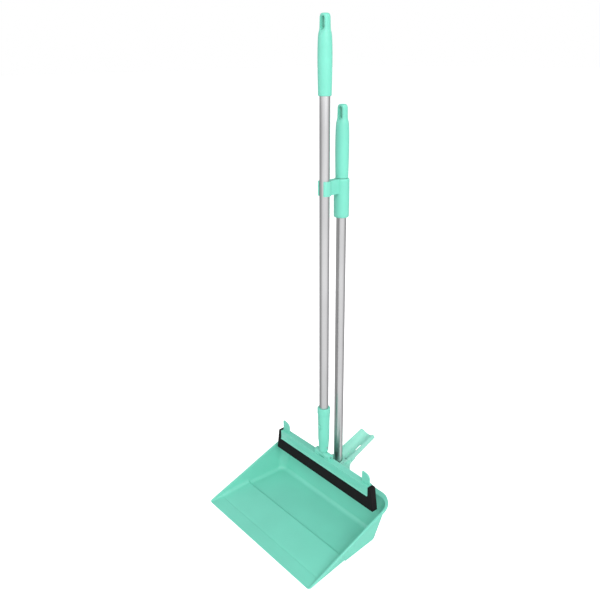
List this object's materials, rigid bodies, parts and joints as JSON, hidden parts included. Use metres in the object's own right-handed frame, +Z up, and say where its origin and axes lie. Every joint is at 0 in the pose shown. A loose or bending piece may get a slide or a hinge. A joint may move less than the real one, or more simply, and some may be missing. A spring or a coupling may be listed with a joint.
{
  "type": "upright dust pan and sweeper set",
  "caption": "Wide dust pan on a leaning pole with a pole tray behind it, and a foam-bladed sweeper that clips to the pan's pole and tilts at its head.",
  "frame": {"origin": "on the floor, under the middle of the bin's flat underside", "axes": "+Z up along the poles, +Y to the back of the pan, +X to its right"},
  "size_m": [0.387, 0.3863, 1.15],
  "materials": {
    "mint_plastic": "satin moulded",
    "aluminium_tube": "drawn and satin anodised",
    "steel": "bright zinc plated",
    "foam": "matt closed-cell foam"
  },
  "bodies": {
    "pan": {"pan_shell": "mint_plastic", "pivot_pin": "steel"},
    "pan_pole": {"pan_pole_tube": "aluminium_tube", "pole_foot": "mint_plastic", "pan_grip": "mint_plastic", "clip_sleeve": "mint_plastic", "sleeve_screw": "steel"},
    "sweeper": {"sweeper_tube": "aluminium_tube", "sweeper_grip": "mint_plastic", "sweeper_socket": "mint_plastic", "button_spring": "steel", "hinge_neck": "mint_plastic", "neck_pin": "steel"},
    "button": {"snap_button": "mint_plastic"},
    "head": {"head_shell": "mint_plastic", "head_back_plate": "mint_plastic", "head_screws": "steel", "hinge_pin": "steel", "foam_blade": "foam"}
  },
  "joints": [
    {"name": "pole_lean", "type": "hinge", "parent": "pan", "child": "pan_pole", "pos_m": [0, 0.09766, 0.0975], "axis": [-1, 0, 0], "range_deg": [0, 68.5]},
    {"name": "sweeper_lift", "type": "slide", "parent": "pan_pole", "child": "sweeper", "axis": [0, 0, 1], "range_m": [-0.03, 0.3]},
    {"name": "head_tilt", "type": "hinge", "parent": "sweeper", "child": "head", "pos_m": [0, 0.04716, 0.1464], "axis": [-1, 0, 0], "range_deg": [0, 70]},
    {"name": "button_press", "type": "slide", "parent": "sweeper", "child": "button", "axis": [0, 1, 0], "range_m": [0, 0.003], "stiffness_N_per_m": 800, "springref_m": -0.002, "deforming": ["button_spring"]}
  ]
}
